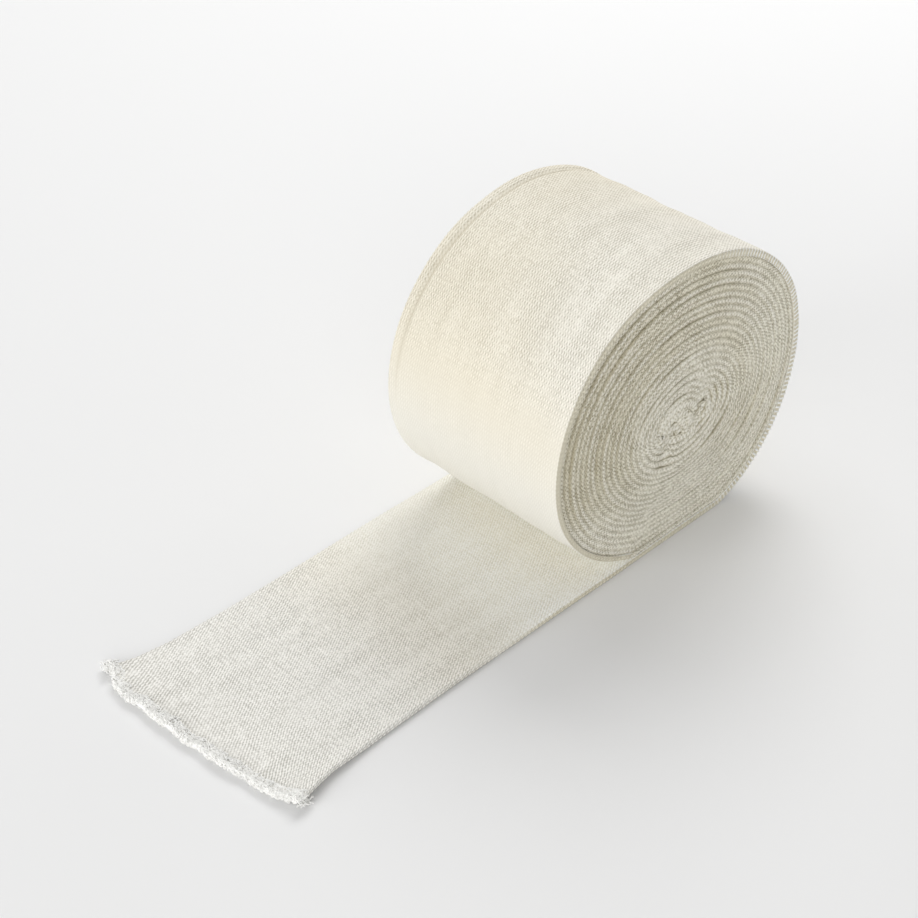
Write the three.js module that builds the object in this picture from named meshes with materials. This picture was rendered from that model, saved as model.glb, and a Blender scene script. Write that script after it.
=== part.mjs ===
// A roll of tubular cotton bandage, its free end laid out on the surface in front of it.
// The bandage is one long knitted tube, pressed flat and wound up. +X runs along the roll's
// axis, towards the end that shows. The loose end runs to -Y. The surface is z = 0, and the
// roll's middle stands above the origin. All sizes are in millimetres.
import * as THREE from 'three';

// Driving sizes
const CLOTH_WIDTH = 75; // of the tube pressed flat
const CLOTH_THICKNESS = 2; // of its two plies, one on the other
const CLEARANCE = 0.3; // between the roll and its loose end
const ROLL_RADIUS = 54.7; // mean
const ROLL_MIDDLE_HEIGHT = 49.7;
const WINDING_START = -116; // degrees from +Y towards +Z, where the loose end leaves the roll

// How the roll's outline bulges and sags at its two ends, as shares of its radius
const OUTLINE_WAVES = [
  { lobes: 2, nearCosine: 0.0428, nearSine: -0.0007, farCosine: 0.0328, farSine: 0.0069 },
  { lobes: 3, nearCosine: -0.0056, nearSine: -0.0004, farCosine: -0.0056, farSine: -0.0004 },
  { lobes: 4, nearCosine: -0.004, nearSine: 0.0055, farCosine: -0.004, farSine: 0.0055 },
];
// Lines round the outermost turn, and how proud the cloth stands there: soft bands, with a
// crease by the far rim
const BANDS = [
  { x: 34.4, proud: 0.1 },
  { x: 29, proud: -0.25 },
  { x: 17, proud: 0.3 },
  { x: 3, proud: -0.2 },
  { x: -12, proud: 0.3 },
  { x: -25, proud: -0.15 },
  { x: -31, proud: 0.2 },
  { x: -33.6, proud: -0.6 },
  { x: -35.4, proud: 0 },
];

// The winding as it shows on the end faces: each ridge stands for two turns of the cloth
const TURN_STEPS = 60; // points in one turn
const OUTER_RIDGES = 9; // from the outline to the core
const CORE_RIDGES = 3; // inside the core
const RIDGE_HEIGHT = 1.5;
const RIM_ROUNDING = { across: 0.6, along: 1.4 }; // of the outermost fold
// The core is an oval, its lean in degrees, and its middle lies sunk inside the end face
const CORE = { y: 2, z: 47.5, halfWidth: 23, halfHeight: 14.8, lean: 4, sink: 3.2 };
const HAIRPIN = { halfWidth: 12, halfHeight: 3.8, bend: 1.7 }; // the first fold, bent like an S
const FACE_UNEVENNESS = 0.5;

// The loose end's two edges. from: the distance in front of the roll's middle.
const EDGES = [
  { from: 23, left: -37.5, right: 37.5 },
  { from: 60, left: -37.9, right: 37.5 },
  { from: 100, left: -38, right: 37.4 },
  { from: 130, left: -38.2, right: 38 },
  { from: 150, left: -39.1, right: 39.2 },
  { from: 161, left: -40.6, right: 41.8 },
  { from: 172, left: -43.8, right: 44 },
];
// The raw, slanted cut across it
const CUT = [
  { across: -44, from: 170.4 },
  { across: -38, from: 173 },
  { across: -31, from: 174.8 },
  { across: -22, from: 173.6 },
  { across: -4, from: 173 },
  { across: 10, from: 171.6 },
  { across: 30, from: 169.1 },
  { across: 38, from: 167 },
  { across: 44, from: 164.2 },
];
// Where it stands up off the surface: each place's middle, its reach and its height
const LIFTS = [
  { across: 44, from: 158, acrossReach: 13, fromReach: 34, height: 2.3 },
  { across: -44, from: 173, acrossReach: 9, fromReach: 13, height: 2.6 },
  { across: 12, from: 177, acrossReach: 22, fromReach: 8, height: 1 },
];
// Soft ripples in its upper ply, each a wave: degrees off its length, spacing and height
const RIPPLES = [
  { direction: 4, spacing: 19, height: 0.14 },
  { direction: -13, spacing: 31, height: 0.18 },
  { direction: 38, spacing: 44, height: 0.12 },
];
const LIP = { width: 4.2, height: 0.8, raggedness: 0.8 }; // the frayed edge at the cut
const FOLD_WIDTH = 1.1; // the rounded fold at each side
const LENGTH_STEPS = 24;
const WIDTH_STEPS = 36;

const CREAM = 0xe6e2d3;

const radians = THREE.MathUtils.degToRad;
const mix = THREE.MathUtils.lerp;
const limit = THREE.MathUtils.clamp;
const soften = THREE.MathUtils.smoothstep;

// A value from a table's column, between the rows whose keys lie either side of a place
function read(table, key, column, place) {
  const found = table.findIndex((row) => row[key] >= place);
  const next = limit(found < 0 ? table.length - 1 : found, 1, table.length - 1);
  const [a, b] = [table[next - 1], table[next]];
  return mix(a[column], b[column], limit((place - a[key]) / (b[key] - a[key]), 0, 1));
}

// An uneven value from -1 to 1 that is the same each time for the same place
function uneven(place, seed) {
  const waves = [1.7, 4.3, 7.9].map((pace, n) => Math.sin(place * pace + seed * (n + 1.3)));
  return (waves[0] + waves[1] + waves[2]) / waves.length;
}

function solid(name, points, faces) {
  const geometry = new THREE.BufferGeometry();
  geometry.setAttribute('position', new THREE.Float32BufferAttribute(points.flat(), 3));
  geometry.setIndex(faces.flat());
  geometry.computeVertexNormals();
  const cotton = new THREE.MeshStandardMaterial({ color: CREAM, roughness: 0.95, metalness: 0 });
  const mesh = new THREE.Mesh(geometry, cotton);
  mesh.name = name;
  return mesh;
}

// The two triangles of a four-cornered face
function quad(a, b, c, d) {
  return [a, b, c, a, c, d];
}

// [y, z] on the outermost turn. turn runs from 0, at the surface, to 1, one cloth higher, and
// near is 1 at the near end and 0 at the far one.
function outline(turn, near, proud = 0) {
  const angle = radians(WINDING_START + 360 * turn);
  const waves = OUTLINE_WAVES.map(
    (w) =>
      mix(w.farCosine, w.nearCosine, near) * Math.cos(w.lobes * angle) +
      mix(w.farSine, w.nearSine, near) * Math.sin(w.lobes * angle),
  );
  const radius = ROLL_RADIUS * waves.reduce((sum, wave) => sum + wave, 1) + proud;
  const z = ROLL_MIDDLE_HEIGHT + radius * Math.sin(angle);
  const lowest = turn > 0.5 ? CLOTH_THICKNESS + CLEARANCE : 0;
  const flatUnder = turn < 0.05;
  return [radius * Math.cos(angle), flatUnder ? 0 : Math.max(z, lowest)];
}

// [y, z] on the oval of the core, and on the bent slit at its middle
function coreOval(turn) {
  const lean = radians(CORE.lean);
  const angle = radians(WINDING_START + 360 * turn) - lean;
  const [wide, high] = [CORE.halfWidth * Math.cos(angle), CORE.halfHeight * Math.sin(angle)];
  return [
    CORE.y + wide * Math.cos(lean) - high * Math.sin(lean),
    CORE.z + wide * Math.sin(lean) + high * Math.cos(lean),
  ];
}
function hairpin(turn) {
  const angle = radians(WINDING_START + 360 * turn);
  const wide = HAIRPIN.halfWidth * Math.cos(angle);
  const bend = HAIRPIN.bend * Math.sin((Math.PI * wide) / HAIRPIN.halfWidth);
  return [CORE.y + wide, CORE.z + HAIRPIN.halfHeight * Math.sin(angle) + bend];
}

// [y, z] in the winding: turn is the way round, and depth is how many ridges inwards
function wound(turn, depth, near) {
  const part = turn - Math.floor(turn);
  const outer = turn <= 1 ? outline(turn, near) : outline(part, near);
  const oval = coreOval(turn);
  const slit = hairpin(turn);
  const reach = Math.hypot(outer[0] - oval[0], outer[1] - oval[1]);
  const cloth = (CLOTH_THICKNESS + CLEARANCE) / reach;
  const inwards = depth < 1 ? cloth * depth : mix(cloth, 1, (depth - 1) / (OUTER_RIDGES - 1));
  const stepped = cloth * (turn <= 1 ? turn : part);
  const toOval = limit(inwards - stepped * (1 - inwards), 0, 1);
  const toSlit = limit((depth - OUTER_RIDGES) / CORE_RIDGES, 0, 1);
  return [0, 1].map((k) => mix(mix(outer[k], oval[k], toOval), slit[k], toSlit));
}

// How far a point of an end face lies in from the cloth's edge
function sunk(turn, depth, crest, near) {
  const inner = limit((depth - OUTER_RIDGES) / CORE_RIDGES, 0, 1);
  const slack = FACE_UNEVENNESS * (1 + uneven(turn, near ? 3 : 8)) * Math.min(1, depth / 2);
  return (crest ? 0 : RIDGE_HEIGHT) + CORE.sink * inner ** 2 + slack;
}

// One end face's points, as two lines that wind inwards together: grooves, then crests. The
// first turn of the groove is the rounded rim.
function faceLines(near) {
  const steps = Math.round((OUTER_RIDGES + CORE_RIDGES - 0.5) * TURN_STEPS);
  const place = (j, crest) => {
    const turn = j / TURN_STEPS;
    const depth = turn + (crest ? 0.5 : 0);
    const rim = !crest && turn <= 1;
    const [y, z] = wound(turn, depth, near);
    const sink = rim ? RIM_ROUNDING.along : sunk(turn, depth, crest, near);
    const shrink = rim ? 1 - RIM_ROUNDING.across / ROLL_RADIUS : 1;
    const x = (near ? 1 : -1) * (CLOTH_WIDTH / 2 - sink);
    return [x, y * shrink, mix(ROLL_MIDDLE_HEIGHT, z, shrink)];
  };
  const indices = Array.from({ length: steps + 1 }, (_, j) => j);
  return [indices.map((j) => place(j, false)), indices.map((j) => place(j, true))];
}

// One end face's triangles, wound to face +X; base is the index of its first point
function faceTriangles(base, steps) {
  const groove = (j) => base + j;
  const crest = (j) => base + steps + 1 + j;
  const faces = [];
  for (let j = 0; j < steps; j++) {
    faces.push(quad(groove(j), groove(j + 1), crest(j + 1), crest(j)));
    if (j + 1 + TURN_STEPS <= steps) {
      const inside = j + TURN_STEPS;
      faces.push(quad(crest(j), crest(j + 1), groove(inside + 1), groove(inside)));
    }
  }
  const middle = base + 2 * (steps + 1);
  faces.push([groove(steps), crest(steps - TURN_STEPS), middle]);
  for (let j = steps - TURN_STEPS; j < steps; j++) faces.push([crest(j), crest(j + 1), middle]);
  faces.push([crest(steps), groove(steps), middle]);
  return faces;
}

// The roll's outside between its two end faces: one line of points for each band
function bandLine({ x, proud }) {
  const near = 0.5 + x / CLOTH_WIDTH;
  const line = [];
  for (let j = 0; j <= TURN_STEPS; j++) {
    const turn = j / TURN_STEPS;
    const easing = limit(turn / 0.2, 0, 1) * limit((1 - turn) / 0.1, 0, 1);
    line.push([x, ...outline(turn, near, proud * easing * (1 + 0.6 * uneven(6 * turn, x)))]);
  }
  const [first, last] = [line[0], line[TURN_STEPS]];
  line.push(first.map((value, k) => mix(value, last[k], 0.5)));
  return line;
}

function woundRoll() {
  const points = [];
  const faces = [];
  const rims = [];
  for (const near of [1, 0]) {
    const base = points.length;
    const [grooves, crests] = faceLines(near);
    const middleX = CLOTH_WIDTH / 2 - CORE.sink - 2 * RIDGE_HEIGHT;
    points.push(...grooves, ...crests, [near ? middleX : -middleX, CORE.y, CORE.z]);
    const steps = grooves.length - 1;
    const triangles = faceTriangles(base, steps);
    faces.push(...(near ? triangles : triangles.map((f) => f.slice().reverse())));
    rims.push([...Array.from({ length: TURN_STEPS + 1 }, (_, j) => base + j), base + steps + 1]);
  }
  const rows = [rims[0]];
  for (const band of BANDS) {
    const base = points.length;
    points.push(...bandLine(band));
    rows.push(Array.from({ length: TURN_STEPS + 2 }, (_, j) => base + j));
  }
  rows.push(rims[1]);
  for (let r = 0; r + 1 < rows.length; r++) {
    rows[r].forEach((corner, j) => {
      const next = (j + 1) % rows[r].length;
      faces.push(quad(corner, rows[r + 1][j], rows[r + 1][next], rows[r][next]));
    });
  }
  return solid('wound_roll', points, faces);
}

// How high the loose end's underside stands off the surface
function lift(across, from) {
  return LIFTS.reduce((sum, place) => {
    const sideways = (across - place.across) / place.acrossReach;
    const lengthways = (from - place.from) / place.fromReach;
    return sum + place.height * (1 - soften(Math.hypot(sideways, lengthways), 0, 1));
  }, 0);
}

// How much thicker the loose end is for its ripples
function ripple(across, from) {
  return RIPPLES.reduce((sum, wave) => {
    const turn = radians(wave.direction);
    const place = across * Math.cos(turn) + from * Math.sin(turn);
    return sum + wave.height * Math.sin((2 * Math.PI * place) / wave.spacing);
  }, 0);
}

// The loose end's points at one place of its grid: its upper and its lower one
function loosePoints(row, column) {
  const inner = (column - 1) / (WIDTH_STEPS - 2);
  const foldShare = FOLD_WIDTH / CLOTH_WIDTH;
  const atFold = column === 0 || column === WIDTH_STEPS;
  const share = atFold ? column / WIDTH_STEPS : mix(foldShare, 1 - foldShare, inner);
  const last = EDGES[EDGES.length - 1];
  const start = -outline(0, 0.5)[0] + CLEARANCE;
  const cut = read(CUT, 'across', 'from', mix(last.left, last.right, share));
  const end = cut - LIP.raggedness * (1 + uneven(column, 5)) / 2;
  const from = mix(start, end, row / LENGTH_STEPS);
  const [left, right] = ['left', 'right'].map((side) => read(EDGES, 'from', side, from));
  const across = mix(left, right, share);
  const lip = soften(from, end - LIP.width, end) * LIP.height * (1 + uneven(column, 2));
  const rippled = soften(from, start + 6, start + 20) * ripple(across, from);
  const low = lift(across, from) + (atFold ? CLOTH_THICKNESS / 4 : 0);
  const thickness = atFold ? CLOTH_THICKNESS / 2 : CLOTH_THICKNESS + rippled + lip;
  return [[across, -from, low + thickness], [across, -from, low]];
}

function looseEnd() {
  const points = [];
  for (let row = 0; row <= LENGTH_STEPS; row++) {
    for (let column = 0; column <= WIDTH_STEPS; column++) points.push(...loosePoints(row, column));
  }
  const upper = (row, column) => 2 * (row * (WIDTH_STEPS + 1) + column);
  const lower = (row, column) => upper(row, column) + 1;
  const faces = [];
  for (let row = 0; row < LENGTH_STEPS; row++) {
    for (let column = 0; column < WIDTH_STEPS; column++) {
      const corners = [[row, column], [row + 1, column], [row + 1, column + 1], [row, column + 1]];
      faces.push(quad(...corners.map((c) => upper(...c))));
      faces.push(quad(...corners.map((c) => lower(...c)).reverse()));
    }
  }
  const side = (r1, c1, r2, c2) => {
    faces.push(quad(upper(r1, c1), upper(r2, c2), lower(r2, c2), lower(r1, c1)));
  };
  for (let row = 0; row < LENGTH_STEPS; row++) {
    side(row + 1, 0, row, 0);
    side(row, WIDTH_STEPS, row + 1, WIDTH_STEPS);
  }
  for (let column = 0; column < WIDTH_STEPS; column++) {
    side(0, column, 0, column + 1);
    side(LENGTH_STEPS, column + 1, LENGTH_STEPS, column);
  }
  return solid('loose_end', points, faces);
}

const bandage = new THREE.Group();
bandage.add(woundRoll(), looseEnd());
export default bandage;
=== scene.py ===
import math
import random

import bmesh
import bpy
from mathutils import Matrix, Quaternion, Vector, noise


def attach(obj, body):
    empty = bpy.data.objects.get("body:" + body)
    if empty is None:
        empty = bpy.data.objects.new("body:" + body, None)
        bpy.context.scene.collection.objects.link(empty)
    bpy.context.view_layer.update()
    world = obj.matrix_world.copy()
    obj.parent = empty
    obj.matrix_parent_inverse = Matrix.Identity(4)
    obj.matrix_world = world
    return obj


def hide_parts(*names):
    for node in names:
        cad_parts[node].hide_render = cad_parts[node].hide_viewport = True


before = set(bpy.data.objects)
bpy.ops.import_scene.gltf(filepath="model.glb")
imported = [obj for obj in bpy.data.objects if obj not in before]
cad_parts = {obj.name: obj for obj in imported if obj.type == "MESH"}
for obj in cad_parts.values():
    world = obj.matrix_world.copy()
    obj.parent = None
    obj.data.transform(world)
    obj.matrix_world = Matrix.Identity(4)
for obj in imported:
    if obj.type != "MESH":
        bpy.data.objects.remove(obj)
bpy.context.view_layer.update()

MM = 0.001

# The cloth, in millimetres: a knitted tube pressed flat, 78 stitch legs across its width
CLOTH_WIDTH = 75.0
CLOTH_THICKNESS = 2.0
# A turn's height in the winding, with the slack between turns
TURN_PITCH = CLOTH_THICKNESS + 0.3
LEG_PITCH = CLOTH_WIDTH / 78
COURSE_PITCH = CLOTH_WIDTH / 47

# The wound roll: its outline is a circle with soft waves (lobes, cosine and sine at the near
# end, cosine and sine at the far end)
ROLL_RADIUS = 54.7
ROLL_MIDDLE = Vector((0.0, 49.7))
WINDING_START = -116.0
OUTLINE_WAVES = (
    (2, 0.0428, -0.0007, 0.0328, 0.0069),
    (3, -0.0056, -0.0004, -0.0056, -0.0004),
    (4, -0.004, 0.0055, -0.004, 0.0055),
)
# How softly the inner turns pass over the flat underneath
FLAT_ROUNDING = 7.0
OUTER_TURNS = 17
CORE_TURNS = 3.84
PLEAT_TURNS = 4.0
TOTAL_TURNS = OUTER_TURNS + CORE_TURNS + PLEAT_TURNS
CORE = {"y": 2.15, "z": 45.0, "wide": 23.15, "high": 17.6, "lean": math.radians(8), "pitch": 2.2}
# Sharp dips in the core's turns: place, reach to the left and to the right of it, depth
CORE_DIPS = (
    (9.3, 3.6, 1.3, -4.4),
    (-4.7, 1.5, 1.7, 1.9),
)
# Troughs in the core's end faces, where its turns are pinched: from, to, width, depth
CORE_TROUGHS = (
    (Vector((9.0, 46.8)), Vector((16.0, 48.2)), 2.6, 0.8),
    (Vector((8.8, 40.5)), Vector((8.4, 46.8)), 2.2, 0.45),
    (Vector((-1.5, 44.0)), Vector((-7.6, 32.6)), 2.6, 0.75),
)
# The cloth's first end, crumpled into pleats inside the core's turns: (y, z) along its middle
FIRST_PLEATS = (
    (-10.4, 39.9),
    (-8.2, 38.8),
    (-6.1, 40.0),
    (-4.3, 38.4),
    (0.0, 37.5),
    (4.2, 37.2),
    (7.9, 38.4),
    (11.1, 40.6),
    (13.6, 43.4),
    (14.3, 46.4),
    (13.0, 48.4),
    (10.9, 49.0),
    (9.4, 46.9),
    (8.2, 45.3),
    (6.7, 47.3),
    (3.6, 49.4),
    (-1.2, 50.0),
    (-5.6, 49.0),
    (-8.6, 46.6),
    (-9.4, 43.6),
    (-8.6, 41.3),
    (-7.2, 41.9),
    (-6.7, 44.2),
    (-4.8, 46.5),
    (-1.8, 47.6),
    (1.3, 46.9),
    (3.8, 44.6),
    (5.0, 41.9),
    (6.6, 40.4),
    (8.9, 41.4),
    (11.3, 44.3),
    (9.6, 44.3),
    (7.0, 42.6),
    (4.6, 39.6),
    (3.2, 39.6),
    (2.6, 42.0),
    (1.1, 44.2),
    (-1.4, 45.2),
    (-3.7, 44.0),
    (-4.7, 41.6),
    (-4.2, 39.9),
    (-3.1, 40.0),
    (-2.4, 41.9),
    (-1.3, 42.7),
    (-0.3, 41.4),
    (0.2, 39.4),
)
PLEAT_THICKNESS = 3.8
# The section's folds: how far each nose stands out, how square it is, and the cloth round it
WOUND_NOSE = 0.3
WOUND_ROUNDNESS = 0.37
LOOSE_NOSE = 1.0
LOOSE_ROUNDNESS = 0.8
FOLD_RUN = 1.9
# The bumps that the courses make along the folds: on the loose end, round the rim, and more
# of it where the rim rises at the roll's back
LOOSE_BEADS = 0.14
RIM_BEADS = 0.1
RIM_BEADS_MORE = 0.16
# The crease by the outermost turn's far rim: its place across, half width and depth
CREASE_ACROSS = -33.6
CREASE_WIDTH = 0.75
CREASE_DEPTH = 0.95

# How finely the shapes are drawn
PLEAT_SAMPLES = 8
LENGTH_SAMPLES = 72
COURSE_STEPS = 4
TURN_STEPS = 180

# The loose end: its length from below the roll's middle, and its edges at each distance from
# there, left and right
LOOSE_LENGTH = 173.6
EDGES = (
    (23, -37.5, 37.5),
    (60, -37.9, 37.5),
    (100, -38.0, 37.4),
    (130, -38.2, 38.0),
    (150, -39.1, 39.2),
    (161, -40.6, 41.8),
    (172, -43.8, 44.0),
)
# The raw cut: (across, distance in front of the roll's middle)
CUT = (
    (-44, 170.4),
    (-38, 173.0),
    (-31, 174.8),
    (-22, LOOSE_LENGTH),
    (-4, 173.0),
    (10, 171.6),
    (30, 169.1),
    (38, 167.0),
    (44, 164.2),
)
# The cut as a simple curve for the raw cloth's colour: middle, slant, bend for each millimetre
CUT_MIDDLE = 172.8
CUT_SLANT = 0.079
CUT_BEND = 0.00195
# The section near the cut, closed softly: (share of the loose end, share of the thickness)
CUT_CLOSING = ((0, 0.3), (0.0004, 0.6), (0.0016, 0.85))
# Places that stand up off the surface: middle across and lengthways, reach of each, height
LIFTS = (
    (44, 158, 13, 34, 2.3),
    (-44, 173, 9, 13, 0.3),
    (12, 177, 22, 8, 0.6),
)
# Ripples in the upper ply: degrees off the length, spacing, height
RIPPLES = (
    (4, 19, 0.14),
    (-13, 31, 0.18),
    (38, 44, 0.12),
)
LIP_WIDTH = 4.2
LIP_HEIGHT = 0.25
# Yarn at the cut: thickness, and the lowest that its middle line lies
LOOP_YARN = 0.42
LOOP_LOWEST = 0.25
FIBRE_YARN = 0.09
FIBRE_LOWEST = 0.2
TOP_LOOPS = 1250
FRONT_LOOPS = 1150
CORNER_LOOPS = 110
FIBRES = 520
# Tufts at the cut's corners: (share across, inwards, moved across, spread)
CORNERS = (
    (0.0, 0.6, -0.9, 1.0),
    (1.0, 0.4, 0.5, 0.8),
)

# The surface and the softboxes round it: name, place in metres, watts
FLOOR_SIZE = 6.0
FLOOR_DROP = 0.0001
ROOM_LIGHT = 0.35
SOFTBOX_SIZE = 0.9
SOFTBOX_AIM = Vector((0, -0.05, 0.03))
SOFTBOXES = (
    ("softbox, behind", (-0.58, 0.838, 1.091), 11.2),
    ("softbox, behind on the left", (-0.944, 0.148, 1.179), 2.5),
    ("softbox, low on the left", (-0.301, -1.486, 0.342), 8.8),
    ("softbox, low in front", (0.457, -1.444, 0.342), 4.8),
    ("softbox, by the camera", (1.013, -0.957, 0.664), 4.3),
    ("softbox, side", (0.039, 1.178, 0.89), 3.0),
)

# The photograph's camera
CAMERA_PLACE = Vector((355.63, -379.66, 411.96)) * MM
CAMERA_AZIMUTH = math.radians(48.165)
CAMERA_ELEVATION = math.radians(37.603)
CAMERA_ROLL = math.radians(-2.643)
CAMERA_LENS = 76.64


def clamp(value):
    return max(0.0, min(1.0, value))


def mix(a, b, share):
    return a + (b - a) * share


def soften(value, start, end):
    share = clamp((value - start) / (end - start))
    return share * share * (3 - 2 * share)


def read(table, column, place):
    """A table's value between the rows whose first column lies either side of a place."""
    for low, high in zip(table, table[1:]):
        if place <= high[0]:
            break
    return mix(low[column], high[column], clamp((place - low[0]) / (high[0] - low[0])))


def waver(x, y, z, seed):
    """Soft unevenness from -1 to 1 that is the same each time."""
    return noise.noise(Vector((x + 31.7 * seed, y - 17.3 * seed, z + 7.9 * seed))) * 1.6


# The winding's shape

def outline(turn, near, proud=0.0, rounding=0.0):
    """(y, z) on the outermost turn, turn from 0 at the surface to 1 one cloth higher."""
    angle = math.radians(WINDING_START + 360 * turn)
    share = 1.0
    for lobes, near_cosine, near_sine, far_cosine, far_sine in OUTLINE_WAVES:
        share += mix(far_cosine, near_cosine, near) * math.cos(lobes * angle)
        share += mix(far_sine, near_sine, near) * math.sin(lobes * angle)
    ray = Vector((math.cos(angle), math.sin(angle)))
    reach = ROLL_RADIUS * share + proud
    lowest = TURN_PITCH if turn > 0.5 else 0.0
    height = ROLL_MIDDLE.y + reach * ray.y
    if turn < 0.05 or height < lowest:
        reach = (lowest - ROLL_MIDDLE.y) / ray.y
    if rounding > 0:
        over = height - 0.5 * CLOTH_THICKNESS
        reach += (math.hypot(over, rounding) - abs(over)) / 2 / ray.y
    return ROLL_MIDDLE + reach * ray


def core_oval(angle, inset):
    """(y, z) on the core's outer oval, or on a smaller one that lies inset in it."""
    swing = angle - CORE["lean"]
    wide, high = CORE["wide"] - inset, CORE["high"] - inset
    spot = Vector((wide * math.cos(swing), high * math.sin(swing)))
    return Vector((CORE["y"], CORE["z"])) + Matrix.Rotation(CORE["lean"], 2) @ spot


def core_dip(spot, turns_in):
    """How far a core's turn is pushed up or down there, sharply, like cloth that is pinched."""
    moved = 0.0
    for middle, left, right, push in CORE_DIPS:
        from_above = push < 0
        if from_above != (spot.y > CORE["z"]):
            continue
        away = spot.x - middle - 0.5 * (2 - turns_in)
        reach = left if away < 0 else right
        strength = soften(turns_in, -0.3, 2.2) if from_above else soften(turns_in, 0.8, 3.2)
        moved += push * strength * math.exp(-math.hypot(away, 0.35) / reach)
    return moved


def wound(turn, depth, near, proud=0.0):
    """(y, z) in the winding: turn is the way round, depth the number of turns inwards."""
    part = turn if turn <= 1 else turn - math.floor(turn)
    angle = math.radians(WINDING_START + 360 * turn)
    rounding = FLAT_ROUNDING * soften(depth, 0.8, 8.0) * soften(-math.sin(angle), 0.1, 0.6)
    outer = outline(part, near, proud, rounding)
    turns_in = depth - OUTER_TURNS
    oval = core_oval(angle, max(0.0, turns_in) * CORE["pitch"])
    cloth = TURN_PITCH / (outer - oval).length
    inwards = cloth * depth if depth < 1 else mix(cloth, 1.0, (depth - 1) / (OUTER_TURNS - 1))
    spot = outer.lerp(oval, clamp(inwards - cloth * part * (1 - inwards)))
    if turns_in > -0.3:
        spot.y += core_dip(spot, turns_in)
    return spot


def pleat_path():
    """The first pleats' middle line as a smooth run of points, from the core's last turn inwards."""
    last = OUTER_TURNS + CORE_TURNS
    start = [wound(last - back, last - back + 0.5, 0.5) for back in (0.02, 0.0)]
    knots = start + [Vector(spot) for spot in FIRST_PLEATS]
    knots.append(knots[-1] * 2 - knots[-2])
    path = []
    for a, b, c, d in zip(knots, knots[1:], knots[2:], knots[3:]):
        for n in range(PLEAT_SAMPLES):
            t = n / PLEAT_SAMPLES
            bend = 2 * a - 5 * b + 4 * c - d
            twist = 3 * b - a - 3 * c + d
            path.append(0.5 * (2 * b + (c - a) * t + bend * t * t + twist * t ** 3))
    return path


PLEATS = pleat_path()


def pleated(share, depth):
    """(y, z) in the first pleats: share runs from the core's turns to the cloth's first end."""
    place = clamp(share) * (len(PLEATS) - 2)
    n = min(int(place), len(PLEATS) - 2)
    ahead = (PLEATS[min(n + 2, len(PLEATS) - 1)] - PLEATS[max(n - 1, 0)]).normalized()
    outwards = Vector((ahead.y, -ahead.x))
    return PLEATS[n].lerp(PLEATS[n + 1], place - n) + outwards * PLEAT_THICKNESS * (0.5 - depth)


def cloth_spot(turn, depth, near, proud=0.0):
    """(y, z) of the wound cloth, depth from 0 at its outer face to 1 at its inner face."""
    pleats = (turn - OUTER_TURNS - CORE_TURNS) / PLEAT_TURNS
    return pleated(pleats, depth) if pleats > 0 else wound(turn, turn + depth, near, proud)


def pressed(angle):
    """Where the turns lie close and even: at the front, low down, and high up at the back."""
    front = soften(math.cos(angle + math.radians(125)), 0.1, 0.8)
    back = soften(math.cos(angle - math.radians(28)), 0.35, 0.9)
    return max(front, back)


def set_back(turn, side):
    """How far a turn's fold lies in from the cloth's full width, uneven from turn to turn."""
    angle = math.radians(WINDING_START + 360 * turn)
    uneven = waver(1.1 * math.cos(angle), 1.1 * math.sin(angle), 2.3 * turn, 3 + side)
    uneven *= 1 - 0.75 * pressed(angle)
    core_share = clamp((turn - OUTER_TURNS) / CORE_TURNS)
    near_rim = math.exp(-((turn - 2.2) / 1.0) ** 2)
    return 0.1 + soften(turn, 0.8, 1.2) * (0.45 + 0.5 * uneven + 0.3 * near_rim + 0.7 * core_share)


def core_trough(turn):
    """How far the core's cloth is drawn in along the creases where its turns are pinched."""
    if turn < OUTER_TURNS:
        return 0.0
    spot = cloth_spot(turn, 0.5, 0.5)
    deepest = 0.0
    for start, end, width, depth in CORE_TROUGHS:
        share = clamp((spot - start).dot(end - start) / (end - start).length_squared)
        away = (spot - start.lerp(end, share)).length
        deepest = max(deepest, depth * math.exp(-(away / width) ** 2))
    return deepest


def fullness(turn):
    """How much of its turn's height a fold fills: over 1, it presses into the folds beside it."""
    angle = math.radians(WINDING_START + 360 * turn)
    front = soften(-math.cos(angle + math.radians(25)), -0.1, 0.9)
    uneven = waver(0.8 * math.cos(angle), 0.8 * math.sin(angle), 1.7 * turn, 9)
    close = soften(turn, 1.5, 2.5) * (0.1 * pressed(angle) + 0.04 * uneven)
    return 1.0 - 0.015 * front * (1 + 1.5 * uneven) - 0.01 * (1 + uneven) + close


def bands(across, turn):
    """Soft ridges round the outermost turn, and a crease by its far rim."""
    angle = math.radians(WINDING_START + 360 * turn)
    easing = soften(turn, 0.12, 0.25) * soften(1 - turn, 0.0, 0.1)
    soft = 0.34 * waver(across / 9, 1.4 * math.cos(angle), 1.4 * math.sin(angle), 5)
    fine = 0.12 * waver(across / 3.2, 2.5 * math.cos(angle), 2.5 * math.sin(angle), 6)
    crease = CREASE_DEPTH * math.exp(-((across - CREASE_ACROSS) / CREASE_WIDTH) ** 2)
    crease *= soften(math.sin(angle + 0.2), 0.0, 0.5)
    return easing * (soft + fine - crease)


# The loose end's shape

def lift(across, distance):
    """How far the loose end stands up off the surface."""
    height = 0.0
    for middle, lengthways, reach, long_reach, top in LIFTS:
        far = math.hypot((across - middle) / reach, (distance - lengthways) / long_reach)
        height += top * (1 - soften(far, 0, 1))
    return height


def ripple(across, distance):
    """The upper ply's soft ripples."""
    height = 0.0
    for degrees, spacing, top in RIPPLES:
        turn = math.radians(degrees)
        place = across * math.cos(turn) + distance * math.sin(turn)
        height += top * math.sin(2 * math.pi * place / spacing)
    return height


LOOSE_START = -outline(0.0, 0.5).x


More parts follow.
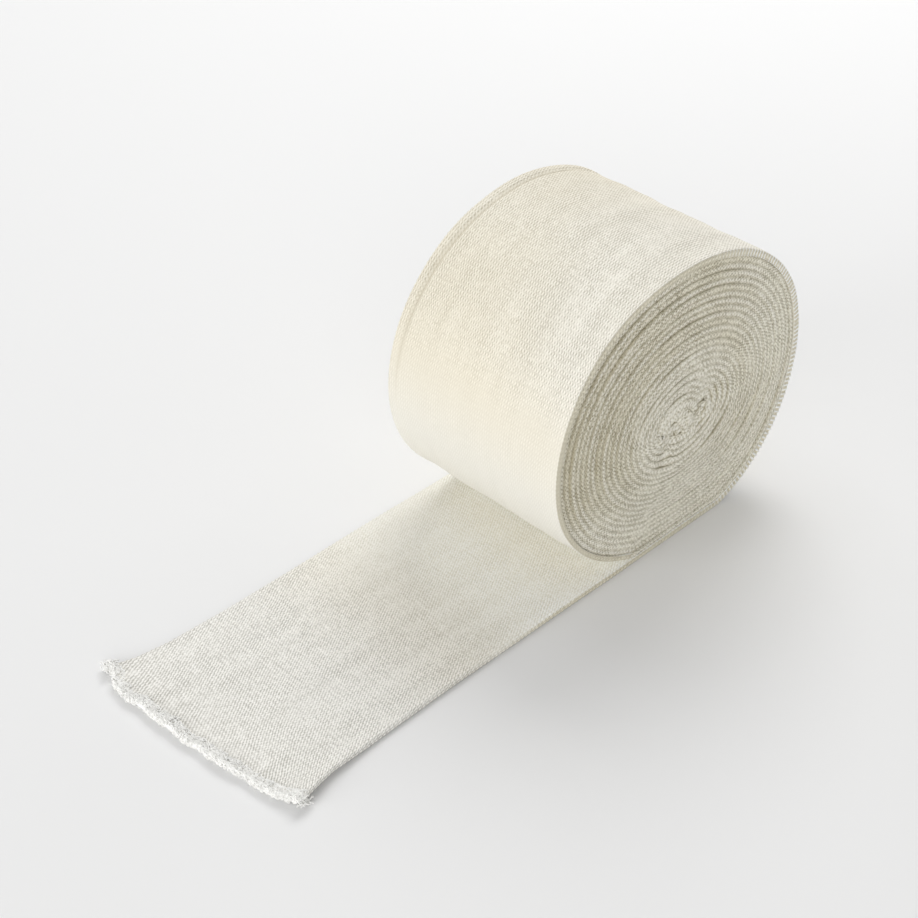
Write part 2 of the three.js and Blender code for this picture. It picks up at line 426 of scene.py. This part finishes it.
def loose_place(share, across_share):
    """(across, distance, lip) at a share of the way from the cut to the roll and from left to right."""
    last = EDGES[-1]
    ragged = 0.55 * waver(across_share * 26, 0, 0, 2) + 0.3 * waver(across_share * 70, 0, 0, 4)
    cut = read(CUT, 1, mix(last[1], last[2], across_share)) - 0.6 + ragged
    distance = mix(cut, LOOSE_START, share)
    across = mix(read(EDGES, 1, distance), read(EDGES, 2, distance), across_share)
    return across, distance, 1 - soften(cut - distance, 0.0, LIP_WIDTH)


def section_ring(nose_steps, inner_shares, outer_shares):
    """The flattened tube's section in order round it: (side, swing round the fold or None, across)."""
    swings = [math.radians(-90 + 180 * n / (nose_steps - 1)) for n in range(nose_steps)]
    ring = [(1, swing, 1) for swing in swings]
    ring += [(1, None, share) for share in reversed(inner_shares)]
    ring += [(-1, -swing, -1) for swing in swings]
    return ring + [(-1, None, share) for share in outer_shares]


def section_spot(spot, half_width, nose, roundness, fill):
    """(across, depth, stitch place) of a spot of the section; depth runs 0 outside to 1 inside."""
    side, swing, share = spot
    flat_half = half_width - nose
    if swing is None:
        outer = side < 0
        across = share * flat_half
        depth = 0.5 - 0.5 * fill if outer else 0.5 + 0.5 * fill
        run = across * (CLOTH_WIDTH / 2 - FOLD_RUN) / flat_half
        return across, depth, 2 * CLOTH_WIDTH + run if outer else CLOTH_WIDTH - run
    across = side * (flat_half + nose * abs(math.cos(swing)) ** roundness)
    depth = 0.5 + 0.5 * fill * math.copysign(abs(math.sin(swing)) ** roundness, swing)
    past_fold = swing / (math.pi / 2) * FOLD_RUN
    stitch = CLOTH_WIDTH / 2 + past_fold if side > 0 else CLOTH_WIDTH * 1.5 - past_fold
    return across, depth, stitch


def sweep(bm, stations, ring, place):
    """Sweeps the section along its stations, each with the share of its thickness it has there."""
    layer = bm.loops.layers.uv.new("stitches")
    bmesh.ops.create_grid(bm, x_segments=len(stations) - 1, y_segments=len(ring), size=1)
    stitches = {}
    for v in bm.verts:
        i = round((v.co.x + 1) / 2 * (len(stations) - 1))
        j = round((v.co.y + 1) / 2 * len(ring))
        station, fill = stations[i]
        point, across, along = place(station, ring[j % len(ring)], fill)
        if j == len(ring):
            across += 2 * CLOTH_WIDTH
        v.co = point * MM
        stitches[v] = Vector((across, along)) / 100
    for face in bm.faces:
        for loop in face.loops:
            loop[layer].uv = stitches[loop.vert]
    bmesh.ops.remove_doubles(bm, verts=bm.verts, dist=0.000005)
    bmesh.ops.holes_fill(bm, edges=[edge for edge in bm.edges if edge.is_boundary], sides=0)
    bmesh.ops.recalc_face_normals(bm, faces=bm.faces)


def new_mesh(name, build):
    mesh = bpy.data.meshes.new(name)
    bm = bmesh.new()
    build(bm)
    bm.to_mesh(mesh)
    bm.free()
    return mesh


def new_piece(name, mesh, finish):
    """A piece of the bandage from its mesh: smooth, in one finish, and fixed to the part."""
    mesh.polygons.foreach_set("use_smooth", [True] * len(mesh.polygons))
    mesh.materials.clear()
    mesh.materials.append(finish)
    piece = bpy.data.objects.new(name, mesh)
    bpy.context.scene.collection.objects.link(piece)
    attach(piece, "root")
    return piece


def wound_lengths():
    """The cloth's length, in millimetres, from the loose end's start to each sample of the winding."""
    lengths = [0.0]
    before = cloth_spot(0.0, 0.5, 0.5)
    for n in range(1, int(TOTAL_TURNS * LENGTH_SAMPLES) + 2):
        turn = n / LENGTH_SAMPLES
        here = cloth_spot(min(turn, TOTAL_TURNS), 0.5, 0.5)
        lengths.append(lengths[-1] + (here - before).length)
        before = here
    return lengths


LENGTHS = wound_lengths()


def length_at(turn):
    """The cloth's length, in millimetres, from below the roll's middle to a place in the winding."""
    sample = turn * LENGTH_SAMPLES
    n = min(int(sample), len(LENGTHS) - 2)
    return mix(LENGTHS[n], LENGTHS[n + 1], sample - n) - LOOSE_START


def wound_place(turn, spot, fill=1.0, beads=0.0):
    """A point of the wound cloth, with its place in the stitches."""
    side = spot[0] if spot[1] is not None else (1 if spot[2] > 0 else -1)
    along = length_at(turn)
    bead = beads * math.cos(2 * math.pi * along / COURSE_PITCH)
    half_width = CLOTH_WIDTH / 2 - set_back(turn, side) - core_trough(turn) + bead
    full = fill * fullness(turn)
    across, depth, stitch = section_spot(spot, half_width, WOUND_NOSE, WOUND_ROUNDNESS, full)
    near = clamp(0.5 + across / CLOTH_WIDTH)
    proud = bands(across, turn) * (1 - depth) if turn < 1 else 0.0
    y, z = cloth_spot(turn, depth, near, proud)
    return Vector((across, y, z)), stitch, along


def loose_spot(share, spot, fill=1.0):
    """A point of the loose end, with its place in the stitches."""
    _, distance, lip = loose_place(share, 0.5 + 0.5 * spot[2])
    left, right = read(EDGES, 1, distance), read(EDGES, 2, distance)
    centre, half_width = (left + right) / 2, (right - left) / 2
    bead = LOOSE_BEADS * math.cos(2 * math.pi * distance / COURSE_PITCH)
    free = soften(distance, LOOSE_START + 4, LOOSE_START + 34)
    nose = mix(WOUND_NOSE, LOOSE_NOSE, free)
    roundness = mix(WOUND_ROUNDNESS, LOOSE_ROUNDNESS, free)
    across, depth, stitch = section_spot(spot, half_width + bead, nose, roundness, fill)
    clear = soften(distance, LOOSE_START + 6, LOOSE_START + 20)
    thick = CLOTH_THICKNESS + clear * ripple(across, distance)
    thick += lip * LIP_HEIGHT * (1 + waver(across / 2.2, 0, 0, 8))
    low = lift(centre + across, distance)
    return Vector((centre + across, -distance, low + depth * thick)), stitch, -distance


def build_free_cloth(bm):
    """The loose end and the outermost turn in one: a flattened tube, closed at the cut."""
    loose_steps = round((LOOSE_LENGTH - LOOSE_START) / COURSE_PITCH * COURSE_STEPS)
    turn_steps = round((length_at(1.0) + LOOSE_START) / COURSE_PITCH * COURSE_STEPS)
    stations = list(CUT_CLOSING)
    stations += [(n / loose_steps, 1.0) for n in range(1, loose_steps)]
    stations += [(1 + n / turn_steps, 1.0) for n in range(turn_steps + 1)]

    def place(station, spot, fill):
        if station < 1:
            return loose_spot(station, spot, fill)
        turn = station - 1
        beads = RIM_BEADS + RIM_BEADS_MORE * soften(turn, 0.1, 0.2) * soften(turn, 0.55, 0.4)
        return wound_place(turn, spot, fill, beads)

    # Closer points by the far rim, for its crease
    outer_shares = [-0.99 + 0.028 * n for n in range(9)]
    outer_shares += [-0.71 + 0.055 * n for n in range(31)]
    sweep(bm, stations, section_ring(9, (-0.75, -0.4, 0, 0.4, 0.75), outer_shares), place)


def build_inner_turns(bm):
    """All the other turns as one spiral, from the outermost turn's end to the cloth's first end."""
    steps = int((TOTAL_TURNS - 1) * TURN_STEPS)
    stations = [(1 + n / TURN_STEPS, 1.0) for n in range(steps + 1)]
    sweep(bm, stations, section_ring(7, (0,), (0,)), wound_place)


# The raw cut's yarn ends

def cut_spot(across_share, inwards):
    """A point on top of the lip, some way in from the cut, or in front of it when below 0."""
    _, cut, _ = loose_place(0.0, across_share)
    share = max(inwards / (cut - LOOSE_START), 0.0)
    spot, _, _ = loose_spot(share, (1, None, 2 * across_share - 1))
    spot.y -= min(inwards, 0.0)
    return spot


def tuft_at(across_share):
    """Where the cut yarn stands in tufts, from -1 to 1."""
    return waver(across_share * 24, 0, 0, 21)


def new_yarns(name, thickness, runs, finish):
    """One mesh of many short yarns, each along its own run of points."""
    curve = bpy.data.curves.new(name, "CURVE")
    curve.dimensions = "3D"
    curve.bevel_depth = thickness / 2 * MM
    curve.bevel_resolution = 0
    curve.use_fill_caps = True
    for points in runs:
        spline = curve.splines.new("POLY")
        spline.points.add(len(points) - 1)
        for knot, point in zip(spline.points, points):
            knot.co = (*(point * MM), 1)
    tube = bpy.data.objects.new(name + "_lines", curve)
    mesh = bpy.data.meshes.new_from_object(tube)
    bpy.data.objects.remove(tube)
    mesh.name = name
    piece = new_piece(name, mesh, finish)
    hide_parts("loose_end")
    return piece


def yarn_loop(chance, spot, outwards):
    """A small loop of yarn that stands on the spot."""
    heading = chance.uniform(0, 2 * math.pi)
    level = outwards.orthogonal().normalized()
    level.rotate(Quaternion(outwards, heading))
    sideways = outwards.cross(level) * chance.uniform(-0.45, 0.45)
    reach, rise = chance.uniform(0.3, 0.85), chance.uniform(0.15, 0.6)
    points = []
    for n in range(6):
        swing = math.pi * (n / 5 * 1.1 - 0.05)
        out = reach * math.cos(swing) * level + rise * math.sin(swing) * outwards
        point = spot + out + sideways * math.sin(2 * swing)
        point.z = max(point.z, LOOP_LOWEST)
        points.append(point)
    return points


def cut_loops(finish):
    """Small loops of cut yarn in tufts: over the lip, down its front, and spread at its corners."""
    chance = random.Random(11)
    up, ahead = Vector((0, 0, 1)), Vector((0, -1, 0.3)).normalized()
    runs = []
    for _ in range(TOP_LOOPS):
        share = chance.uniform(0, 1)
        spot = cut_spot(share, chance.uniform(0.0, 3.3 + 0.8 * tuft_at(share)))
        runs.append(yarn_loop(chance, spot - up * 0.1, up))
    for _ in range(FRONT_LOOPS):
        share = chance.uniform(0, 1)
        spot = cut_spot(share, chance.uniform(-0.4, 0.1) - 0.25 * (1 + tuft_at(share)))
        spot.z *= chance.uniform(0.12, 1.0)
        runs.append(yarn_loop(chance, spot, ahead))
    for corner, inwards, across, reach in CORNERS:
        for _ in range(CORNER_LOOPS):
            spot = cut_spot(corner, inwards)
            spot.x += across + chance.gauss(0, reach)
            spot.y += chance.gauss(0, reach)
            spot.z *= chance.uniform(0.2, 1.0)
            runs.append(yarn_loop(chance, spot, up))
    return new_yarns("cut_loops", LOOP_YARN, runs, finish)


def loose_fibres(finish):
    """Fine fibres that stand out of the lip."""
    chance = random.Random(12)
    runs = []
    for _ in range(FIBRES):
        spot = cut_spot(chance.uniform(0.0, 1.0), chance.uniform(-0.4, 2.6))
        spot.z *= chance.uniform(0.5, 1.05)
        heading = math.radians(chance.gauss(-90, 60))
        ahead = Vector((math.cos(heading), math.sin(heading), chance.uniform(-0.2, 0.6)))
        bend = Vector((chance.uniform(-1, 1), chance.uniform(-1, 1), chance.uniform(-0.8, 0.3)))
        length = chance.uniform(0.7, 2.2)
        points = []
        for n in range(5):
            share = n / 4
            point = spot + ahead * length * share + bend * 0.7 * share * share
            point.z = max(point.z, FIBRE_LOWEST)
            points.append(point)
        runs.append(points)
    return new_yarns("loose_fibres", FIBRE_YARN, runs, finish)


# Colours. A knit has a pair: its pale yarn, and a darker colour that is painted shade in the hollows
# between the stitches
FOLD_HIGHLIGHT = (0.95, 0.92, 0.83, 1)
FOLD_LIT_PALE = (0.99, 0.96, 0.835, 1)
FOLD_CREAM = (0.865, 0.82, 0.675, 1)
FOLD_GAP_SHADE_TAN = (0.80, 0.755, 0.60, 1)
FOLD_SHADE = (0.73, 0.68, 0.53, 1)
FOLD_SHADE_GREY = (0.42, 0.375, 0.255, 1)
FOLD_HOLLOW_SHADE = (0.34, 0.295, 0.18, 1)
# Painted shade: tan for the far rim's crease and for the warm knit's hollows
CREASE_SHADE_TAN = (0.57, 0.515, 0.395, 1)
# Pure white for the rim's stitch loops, brighter than the yarn as a painted highlight
LOOP_WHITE_AND_HIGHLIGHT = (1.0, 1.0, 0.98, 1)
RAW_WHITE = (0.94, 0.935, 0.91, 1)
RAW_SPECKLE = (0.87, 0.865, 0.835, 1)
FLOOR_WHITE = (0.82, 0.82, 0.818, 1)
WARM = ((0.915, 0.87, 0.748, 1), CREASE_SHADE_TAN)
COOL = ((0.98, 0.965, 0.915, 1), (0.49, 0.475, 0.43, 1))
# Painted shade: darker knit for the roll's lower part and the strip's far corner
SHADED_KNIT = ((0.815, 0.795, 0.73, 1), (0.63, 0.61, 0.54, 1))
# Painted light: paler knit for the strip beside the roll
PAINTED_LIGHT_BY_ROLL = ((1.0, 1.0, 0.96, 1), (0.77, 0.745, 0.65, 1))
RIM = (FOLD_CREAM, (0.55, 0.50, 0.37, 1))
LOOPS_AND_HIGHLIGHT = (LOOP_WHITE_AND_HIGHLIGHT, LOOP_WHITE_AND_HIGHLIGHT)
RAW = (RAW_WHITE, (0.88, 0.875, 0.85, 1))
# How much the slanting legs, both ways, the rows and the columns show in the wound folds
FOLD_SHARES = (0.14, 0.11, 0.09, 0.09)


# Shaders

class Amount:
    """A number that a finish works out over the surface, with the arithmetic of numbers."""

    def __init__(self, finish, socket):
        self.finish, self.socket = finish, socket

    def __add__(self, other):
        return self.finish.maths("ADD", self, other)

    def __sub__(self, other):
        return self.finish.maths("SUBTRACT", self, other)

    def __rsub__(self, other):
        return self.finish.maths("SUBTRACT", other, self)

    def __mul__(self, other):
        return self.finish.maths("MULTIPLY", self, other)

    def __truediv__(self, other):
        return self.finish.maths("DIVIDE", self, other)

    __radd__, __rmul__ = __add__, __mul__


class Finish:
    """One material: its nodes are made by node(), and its look is set by wear()."""

    def __init__(self, name):
        self.material = bpy.data.materials.new(name)
        self.material.use_nodes = True
        self.tree = self.material.node_tree
        self.shader = self.tree.nodes["Principled BSDF"]

    def plug(self, socket, value):
        if isinstance(value, Amount):
            self.tree.links.new(value.socket, socket)
        else:
            socket.default_value = value

    def node(self, kind, settings, sockets, out=0):
        made = self.tree.nodes.new(kind)
        for name, value in settings.items():
            setattr(made, name, value)
        for name, value in sockets.items():
            self.plug(made.inputs[name], value)
        return Amount(self, made.outputs[out])

    def maths(self, operation, *values):
        return self.node("ShaderNodeMath", {"operation": operation}, dict(enumerate(values)))

    def blend(self, share, a, b):
        sockets = {"Factor": share, 6: a, 7: b}
        return self.node("ShaderNodeMix", {"data_type": "RGBA"}, sockets, 2)

    def blend_pair(self, share, pair, other):
        return [self.blend(share, a, b) for a, b in zip(pair, other)]

    def larger(self, a, b):
        return self.maths("MAXIMUM", a, b)

    def step(self, value, low, high):
        """0 below low, 1 above high and soft between."""
        settings = {"interpolation_type": "SMOOTHSTEP"}
        sockets = {"Value": value, "From Min": low, "From Max": high}
        return self.node("ShaderNodeMapRange", settings, sockets)

    def parts(self, vector):
        made = self.tree.nodes.new("ShaderNodeSeparateXYZ")
        self.plug(made.inputs[0], vector)
        return [Amount(self, out) for out in made.outputs]

    def noise(self, vector, scale):
        return self.node("ShaderNodeTexNoise", {}, {"Vector": vector, "Scale": scale})

    def wear(self, **looks):
        for name, value in looks.items():
            self.plug(self.shader.inputs[name.replace("_", " ")], value)
        return self.material


def place_of(finish):
    """The place on the part, in metres."""
    return finish.node("ShaderNodeTexCoord", {}, {}, "Object")


def stitch_place(finish):
    """Across and along the cloth, in stitch legs and courses."""
    across, along, _ = finish.parts(finish.node("ShaderNodeUVMap", {"uv_map": "stitches"}, {}))
    return across * (100 / LEG_PITCH), along * (100 / COURSE_PITCH)


def wave(finish, turns):
    """A wave from -1 to 1, at its top on each whole number."""
    return finish.maths("COSINE", turns * (2 * math.pi))


def knit_relief(finish, legs, courses, shares):
    """The knit's height, near 0 to 1: legs slanting each way, rows and columns, each with its share."""
    place = place_of(finish)
    slow, quick = finish.noise(place, 90.0), finish.noise(place, 420.0)
    wander = (slow - 0.5) * 0.8 + (quick - 0.5) * 0.45
    falling, rising, rows, columns = shares
    height = wave(finish, legs - courses + wander) * falling
    height = height + wave(finish, legs + courses + wander) * rising
    height = height + wave(finish, courses + wander * 0.5) * rows
    height = height + wave(finish, legs + wander * 0.4) * columns
    patchy = finish.step(finish.noise(place, 140.0), 0.3, 0.7) * 0.6 + 0.55
    grain = finish.noise(place, 1300.0) - 0.5
    return height * patchy + (quick - 0.5) * 0.22 + grain * 0.62 + 0.5


def beside_fold(finish, legs):
    """The distance, in millimetres of cloth, from the nearer fold's crest."""
    return CLOTH_WIDTH / 2 - finish.maths("PINGPONG", legs * LEG_PITCH, CLOTH_WIDTH / 2)


def outside_height(finish, legs, courses, z, on_roll):
    """The outside's relief: slanting legs on the loose end, rows and columns on the roll."""
    high = finish.step(z, 62 * MM, 92 * MM)
    falling = 0.22 - on_roll * 0.13 + high * 0.10
    rising = on_roll * 0.10 - high * 0.09 + 0.08
    rows = 0.07 - high * 0.02
    columns = on_roll * 0.14 + 0.06
    height = knit_relief(finish, legs, courses, (falling, rising, rows, columns))
    along = finish.node("ShaderNodeCombineXYZ", {}, {"X": legs * 0.16, "Y": courses * 0.02})
    streak = finish.noise(along, 1.0)
    calm = finish.step(z, 86 * MM, 62 * MM) * on_roll
    return (height + (streak - 0.5) * 0.26 - 0.5) * (1 - calm * 0.75) + 0.5 - calm * 0.03


def outside_knit():
    """The roll's outside and the loose end: cream where many turns lie under it, paler where single,
    with painted light on the strip beside the roll and painted shade at its far corner, low on the
    roll, in the crease and in the stitch hollows.
    """
    finish = Finish("knit, outside")
    legs, courses = stitch_place(finish)
    x, y, z = finish.parts(place_of(finish))
    on_roll = finish.step(z, 8 * MM, 20 * MM)
    height = outside_height(finish, legs, courses, z, on_roll)

    low_down = finish.step(z, 9 * MM, 5 * MM)
    loose = finish.step(y, -45 * MM, -130 * MM) * low_down
    tint = finish.noise(place_of(finish), 14.0) - 0.5
    # Cooler and paler knit higher up and towards the near end
    cooler_up_and_near = finish.step(x * 0.4 + z * 0.6 + tint * (30 * MM), 38 * MM, 66 * MM)
    knit = finish.blend_pair(finish.larger(loose, cooler_up_and_near * 0.5), WARM, COOL)
    # Painted light: the strip beside the roll is paler, standing for light bounced in under the roll
    painted_beside_roll = finish.step(y, -105 * MM, -55 * MM) * low_down
    knit = finish.blend_pair(painted_beside_roll, knit, PAINTED_LIGHT_BY_ROLL)
    # Painted shade: a darker wedge on the strip at its far corner beside the roll
    far_corner_shade = painted_beside_roll * finish.step(x + (y + 50 * MM) * 0.45, -16 * MM, -40 * MM)
    knit = finish.blend_pair(far_corner_shade * 0.8, knit, SHADED_KNIT)
    # Painted shade: the roll's lower part is darker
    front = finish.step(z, 72 * MM, 36 * MM) * on_roll
    knit = finish.blend_pair(front, knit, SHADED_KNIT)

    beside = beside_fold(finish, legs)
    near_side = finish.step(x, 0.0, 20 * MM) * finish.step(y, -90 * MM, -55 * MM)
    rim = finish.step(beside, 1.3, 0.8) * near_side
    knit = finish.blend_pair(rim, knit, RIM)
    # White stitch loops along the near rim's outer edge, made pure white as a painted highlight where
    # they catch the light
    loops = finish.step(wave(finish, courses), 0.0, 0.7) * finish.step(beside, 2.3, 1.5) * near_side
    patchy = finish.step(finish.noise(place_of(finish), 260.0), 0.2, 0.5)
    loops = loops * finish.step(y, 4 * MM, 38 * MM) * patchy
    pale, hollow_shade = finish.blend_pair(loops * 0.95, knit, LOOPS_AND_HIGHLIGHT)

    # Painted shade: a tan line along the crease by the outermost turn's far rim
    off_crease = finish.maths("ABSOLUTE", x - CREASE_ACROSS * MM)
    crease = finish.step(off_crease, 1.1 * MM, 0.2 * MM) * finish.step(z, 40 * MM, 70 * MM)
    pale = finish.blend(crease * 0.45, pale, CREASE_SHADE_TAN)
    to_cut = CUT_MIDDLE * MM + y - x * CUT_SLANT - x * x * (CUT_BEND / MM)
    raw_share = finish.step(to_cut, 2.8 * MM, 1.4 * MM)
    pale, hollow_shade = finish.blend_pair(raw_share, (pale, hollow_shade), RAW)
    bump = {"Strength": 0.6, "Distance": 0.3 * MM, "Height": height}
    # The stitch hollows take the darker colour of each pair, as painted shade
    return finish.wear(
        Base_Color=finish.blend(finish.step(height, 0.08, 0.82), hollow_shade, pale),
        Roughness=0.95,
        Normal=finish.node("ShaderNodeBump", {}, bump),
    )


def fold_knit():
    """The wound folds: pale along each fold's crest, with painted shade in tan and grey towards the
    gaps beside it, painted highlights along lit crests, and painted light where the end face is more
    lit.
    """
    finish = Finish("knit, wound folds")
    legs, courses = stitch_place(finish)
    quick = finish.noise(place_of(finish), 500.0)
    height = knit_relief(finish, legs, courses, FOLD_SHARES)
    beside = beside_fold(finish, legs)
    grain = finish.noise(place_of(finish), 1100.0) - 0.5
    height = height + wave(finish, beside / FOLD_RUN) * 0.05 + grain * 0.45 + 0.02
    # Painted shade: the crest's colour turns tan away from the fold's crest towards the gaps
    down = finish.step(beside + (quick - 0.5) * 1.4, 0.3, 2.0)
    _, y, z = finish.parts(place_of(finish))
    off_y, off_z = y - 2 * MM, z - 45 * MM
    in_core = finish.step(off_y * off_y + off_z * off_z, (32 * MM) ** 2, (12 * MM) ** 2)
    # Painted light: the end face and its hollows are paler where it is more lit, in the core, low down
    # and towards the back
    paler = finish.larger(in_core, finish.step(z, 46 * MM, 16 * MM))
    paler = finish.larger(paler, finish.step(y, 14 * MM, 46 * MM) * 0.85)
    shaded = finish.step(y, -14 * MM, -44 * MM) * finish.step(z, 20 * MM, 42 * MM)
    crest = finish.blend(down, FOLD_CREAM, FOLD_GAP_SHADE_TAN)
    crest = finish.blend(paler, crest, FOLD_LIT_PALE)
    crest = finish.blend(shaded * 0.85, crest, FOLD_SHADE)
    hollow_shade = finish.blend(paler, FOLD_HOLLOW_SHADE, FOLD_SHADE_GREY)
    # Painted shade: grey in the gaps between folds, stronger in the core
    gap_shade = finish.step(beside + (quick - 0.5) * 0.5, 1.25, 1.8) * (in_core * 0.62 + 0.26)
    crest = finish.blend(gap_shade, crest, FOLD_SHADE_GREY)
    # Painted highlight: a thin near-white line along each fold's crest, on lit stretches and all
    # through the core
    along = finish.node("ShaderNodeCombineXYZ", {}, {"X": courses * 0.035})
    lit = finish.larger(finish.step(finish.noise(along, 1.0), 0.36, 0.6), in_core)
    line = finish.step(beside + (quick - 0.5) * 0.8, 0.7, 0.2) * lit
    line = line * (wave(finish, courses) * 0.15 + 0.85)
    crest = finish.blend(line * 0.7, crest, FOLD_HIGHLIGHT)
    height = finish.larger(height, line * 0.5) - gap_shade * 0.15
    bump = {"Strength": 0.8, "Distance": 0.45 * MM, "Height": height - down * 0.06}
    # The stitch hollows take the darker colour, as painted shade
    return finish.wear(
        Base_Color=finish.blend(finish.step(height, 0.15, 0.72), hollow_shade, crest),
        Roughness=0.95,
        Normal=finish.node("ShaderNodeBump", {}, bump),
    )


def raw_cotton():
    """Cut yarn ends: soft white, with a fine speckle."""
    finish = Finish("raw cotton")
    speckle = finish.noise(place_of(finish), 900.0)
    bump = {"Strength": 0.25, "Distance": 0.06 * MM, "Height": speckle}
    return finish.wear(
        Base_Color=finish.blend(finish.step(speckle, 0.3, 0.65), RAW_SPECKLE, RAW_WHITE),
        Roughness=1.0,
        Normal=finish.node("ShaderNodeBump", {}, bump),
    )


def paper_floor():
    return Finish("pale floor").wear(Base_Color=FLOOR_WHITE, Roughness=0.8)


# The bandage's pieces

free_cloth = new_piece("free_cloth", new_mesh("free_cloth", build_free_cloth), outside_knit())
inner_turns = new_piece("inner_turns", new_mesh("inner_turns", build_inner_turns), fold_knit())
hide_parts("loose_end", "wound_roll")
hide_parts("wound_roll")

raw = raw_cotton()
fringe = [cut_loops(raw), loose_fibres(raw)]

free_length = (LOOSE_LENGTH + length_at(1.0)) * MM
inner_length = (length_at(TOTAL_TURNS) - length_at(1.0)) * MM


# The surface, the light and the camera

def build_floor(bm):
    bmesh.ops.create_grid(bm, x_segments=1, y_segments=1, size=FLOOR_SIZE)


def lay_floor():
    mesh = new_mesh("floor", build_floor)
    mesh.materials.append(paper_floor())
    floor = bpy.data.objects.new("floor", mesh)
    floor.location.z = -FLOOR_DROP
    bpy.context.scene.collection.objects.link(floor)


def hang_light(name, place, watts):
    light = bpy.data.lights.new(name, "AREA")
    light.shape = "DISK"
    light.size = SOFTBOX_SIZE
    light.energy = watts
    lamp = bpy.data.objects.new(name, light)
    lamp.location = place
    lamp.rotation_euler = (SOFTBOX_AIM - Vector(place)).to_track_quat("-Z", "Y").to_euler()
    bpy.context.scene.collection.objects.link(lamp)


def light_room():
    world = bpy.data.worlds.new("studio")
    world.use_nodes = True
    background = world.node_tree.nodes["Background"]
    background.inputs["Color"].default_value = (1, 1, 1, 1)
    background.inputs["Strength"].default_value = ROOM_LIGHT
    bpy.context.scene.world = world
    for name, place, watts in SOFTBOXES:
        hang_light(name, place, watts)


def set_camera():
    azimuth, elevation = CAMERA_AZIMUTH, CAMERA_ELEVATION
    back = Vector((
        math.sin(azimuth) * math.cos(elevation),
        -math.cos(azimuth) * math.cos(elevation),
        math.sin(elevation),
    ))
    right = Vector((math.cos(azimuth), math.sin(azimuth), 0))
    up = back.cross(right)
    turn = Matrix((right, up, back)).transposed() @ Matrix.Rotation(CAMERA_ROLL, 3, "Z")
    camera = bpy.data.objects.new("camera", bpy.data.cameras.new("camera"))
    camera.data.lens = CAMERA_LENS
    camera.data.sensor_width = 36
    camera.data.clip_start = 0.01
    camera.matrix_world = Matrix.Translation(CAMERA_PLACE) @ turn.to_4x4()
    bpy.context.scene.collection.objects.link(camera)
    bpy.context.scene.camera = camera


lay_floor()
light_room()
set_camera()
bpy.context.scene.view_settings.view_transform = "Standard"
